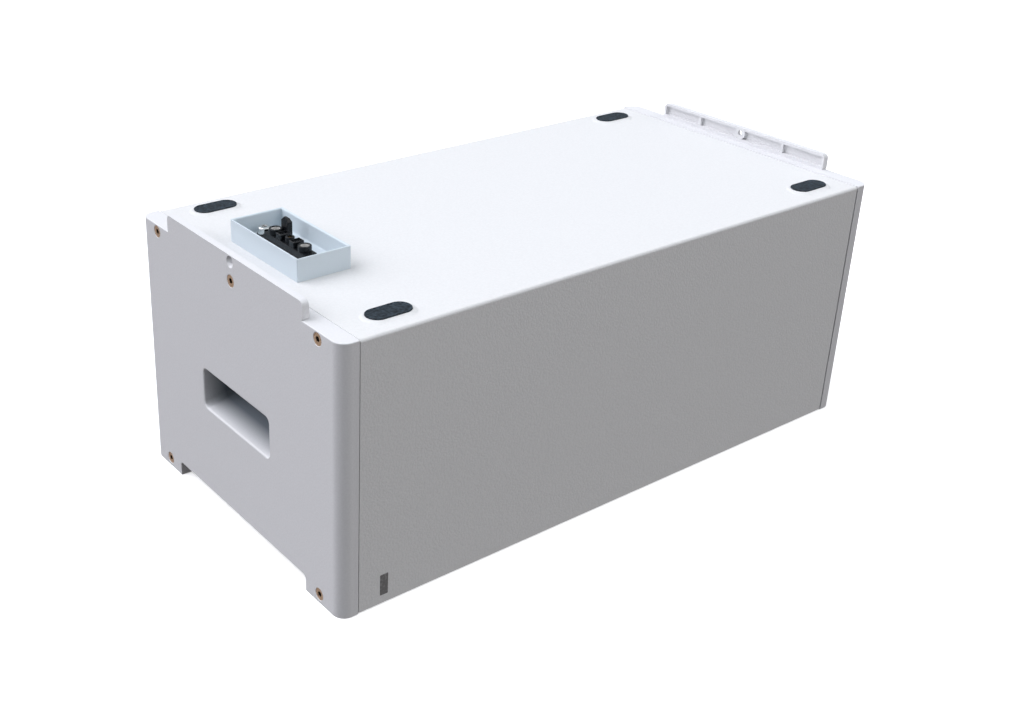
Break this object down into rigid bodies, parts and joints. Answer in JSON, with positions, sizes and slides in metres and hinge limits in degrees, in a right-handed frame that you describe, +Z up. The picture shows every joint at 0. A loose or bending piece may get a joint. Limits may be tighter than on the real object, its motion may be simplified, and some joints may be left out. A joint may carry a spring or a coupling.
{
  "type": "stackable home battery module",
  "caption": "Long box-shaped home battery module with moulded end caps, recessed hand grips, stacking tongues, rubber top pads and a collared blind-mate connector.",
  "frame": {"origin": "centre of the footprint, at the level the end caps stand on", "axes": "+X along the length, with the connector end at -X; +Y towards the back, away from the side with the small dark window; +Z up, the stacking direction"},
  "size_m": [0.585, 0.298, 0.2552],
  "materials": {
    "case_coat": "fine textured powder coat, satin",
    "cap_plastic": "fine moulded texture, matte",
    "collar_plastic": "smooth moulded, satin",
    "pad_rubber": "matte, slightly mottled",
    "seam_rubber": "matte",
    "window_plastic": "smoked, satin gloss",
    "connector_plastic": "glass-filled, satin",
    "contact_metal": "silver plated",
    "pin_metal": "gold flashed",
    "stud_steel": "nickel plated",
    "zinc_screw": "yellow zinc plated",
    "frame_aluminium": "mill finish",
    "pan_coat": "powder coat, satin",
    "socket_plastic": "moulded, satin",
    "cell_can": "blue insulating film over aluminium",
    "tray_plastic": "flame-retardant moulding",
    "foam": "pressure pad",
    "busbar_metal": "plated",
    "nut_steel": "zinc plated",
    "cover_plastic": "milky sheet",
    "board_green": "solder mask",
    "component_black": "moulded",
    "fuse_body": "ceramic",
    "orange_jacket": "cable jacket",
    "black_jacket": "cable jacket",
    "grey_jacket": "harness sleeve"
  },
  "bodies": {
    "root": {"base_pan": "pan_coat", "bms_board": "board_green", "bms_components": "component_black", "bms_screws": "nut_steel", "bms_standoffs": "pin_metal", "bottom_connector_body": "connector_plastic", "bottom_frame_screws": "nut_steel", "bottom_power_pins": "contact_metal", "bottom_signal_pins": "pin_metal", "bottom_socket_frame": "socket_plastic", "busbar_cover": "cover_plastic", "busbar_nuts": "nut_steel", "case_cover": "case_coat", "cell_01": "cell_can", "cell_02": "cell_can", "cell_03": "cell_can", "cell_04": "cell_can", "cell_05": "cell_can", "cell_06": "cell_can", "cell_07": "cell_can", "cell_08": "cell_can", "cell_09": "cell_can", "cell_10": "cell_can", "cell_11": "cell_can", "cell_12": "cell_can", "cell_13": "cell_can", "cell_14": "cell_can", "cell_15": "cell_can", "cell_16": "cell_can", "cell_busbars": "busbar_metal", "cell_spacers": "foam", "cell_tray": "tray_plastic", "compression_straps": "nut_steel", "connector_collar": "collar_plastic", "contactor": "component_black", "fuse_holder": "tray_plastic", "fuse_link": "fuse_body", "left_bulkhead": "frame_aluminium", "left_cap_gasket": "seam_rubber", "left_cap_screws": "zinc_screw", "left_end_cap": "cap_plastic", "left_end_plate": "frame_aluminium", "negative_cable": "black_jacket", "positive_cable": "orange_jacket", "right_bulkhead": "frame_aluminium", "right_cap_gasket": "seam_rubber", "right_cap_screws": "zinc_screw", "right_end_cap": "cap_plastic", "right_end_plate": "frame_aluminium", "signal_harness": "grey_jacket", "status_window": "window_plastic", "top_connector_body": "connector_plastic", "top_connector_inserts": "connector_plastic", "top_connector_screws": "stud_steel", "top_pad_back_left": "pad_rubber", "top_pad_back_right": "pad_rubber", "top_pad_front_left": "pad_rubber", "top_pad_front_right": "pad_rubber", "top_power_contacts": "contact_metal", "top_signal_contacts": "pin_metal"}
  },
  "joints": []
}
